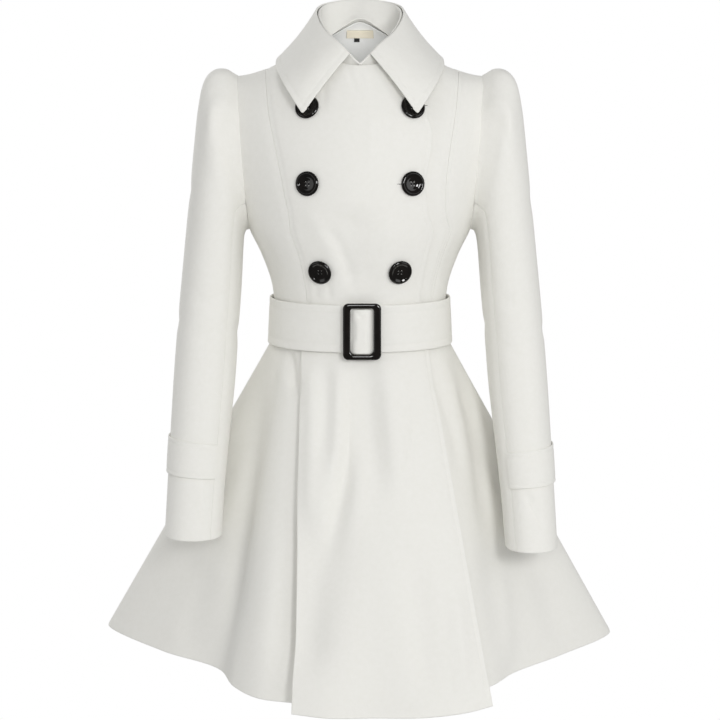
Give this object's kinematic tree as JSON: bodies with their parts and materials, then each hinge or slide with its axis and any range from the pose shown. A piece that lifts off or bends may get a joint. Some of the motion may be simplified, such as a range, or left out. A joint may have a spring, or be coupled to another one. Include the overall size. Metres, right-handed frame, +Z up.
{
  "type": "flared coat",
  "caption": "Knee-high belted double-breasted coat with a point collar, puffed long sleeves with cuff straps, princess seams and a flared, folded skirt.",
  "frame": {"origin": "between the wearer's shoulders, on the line through both shoulder points", "axes": "+Z up along the body, -Y to the front, +X to the wearer's left"},
  "size_m": [0.664, 0.5184, 0.8682],
  "materials": {
    "coat_cloth": "matt felted wool cloth, off-white",
    "lining": "smooth satin lining, off-white",
    "label": "woven cream label, left bare",
    "tab": "woven black tab, left bare",
    "button": "polished black resin",
    "buckle": "polished black resin"
  },
  "bodies": {
    "root": {"bodice_front_right": "coat_cloth", "bodice_front_left": "coat_cloth", "bodice_side_front_right": "coat_cloth", "bodice_side_front_left": "coat_cloth", "bodice_side_back_right": "coat_cloth", "bodice_side_back_left": "coat_cloth", "bodice_back": "coat_cloth", "skirt_front": "coat_cloth", "skirt_side_right": "coat_cloth", "skirt_side_left": "coat_cloth", "skirt_back_right": "coat_cloth", "skirt_back_left": "coat_cloth", "sleeve_upper_right": "coat_cloth", "sleeve_upper_left": "coat_cloth", "sleeve_under_right": "coat_cloth", "sleeve_under_left": "coat_cloth", "cuff_strap_right": "coat_cloth", "cuff_strap_left": "coat_cloth", "collar_stand": "coat_cloth", "collar_fall": "coat_cloth", "belt_band": "coat_cloth", "belt_wrap": "coat_cloth", "buckle_frame": "buckle", "neck_lining": "lining", "neck_label": "label", "size_tab": "tab", "button_top_right": "button", "button_top_left": "button", "button_middle_right": "button", "button_middle_left": "button", "button_bottom_right": "button", "button_bottom_left": "button"}
  },
  "joints": []
}
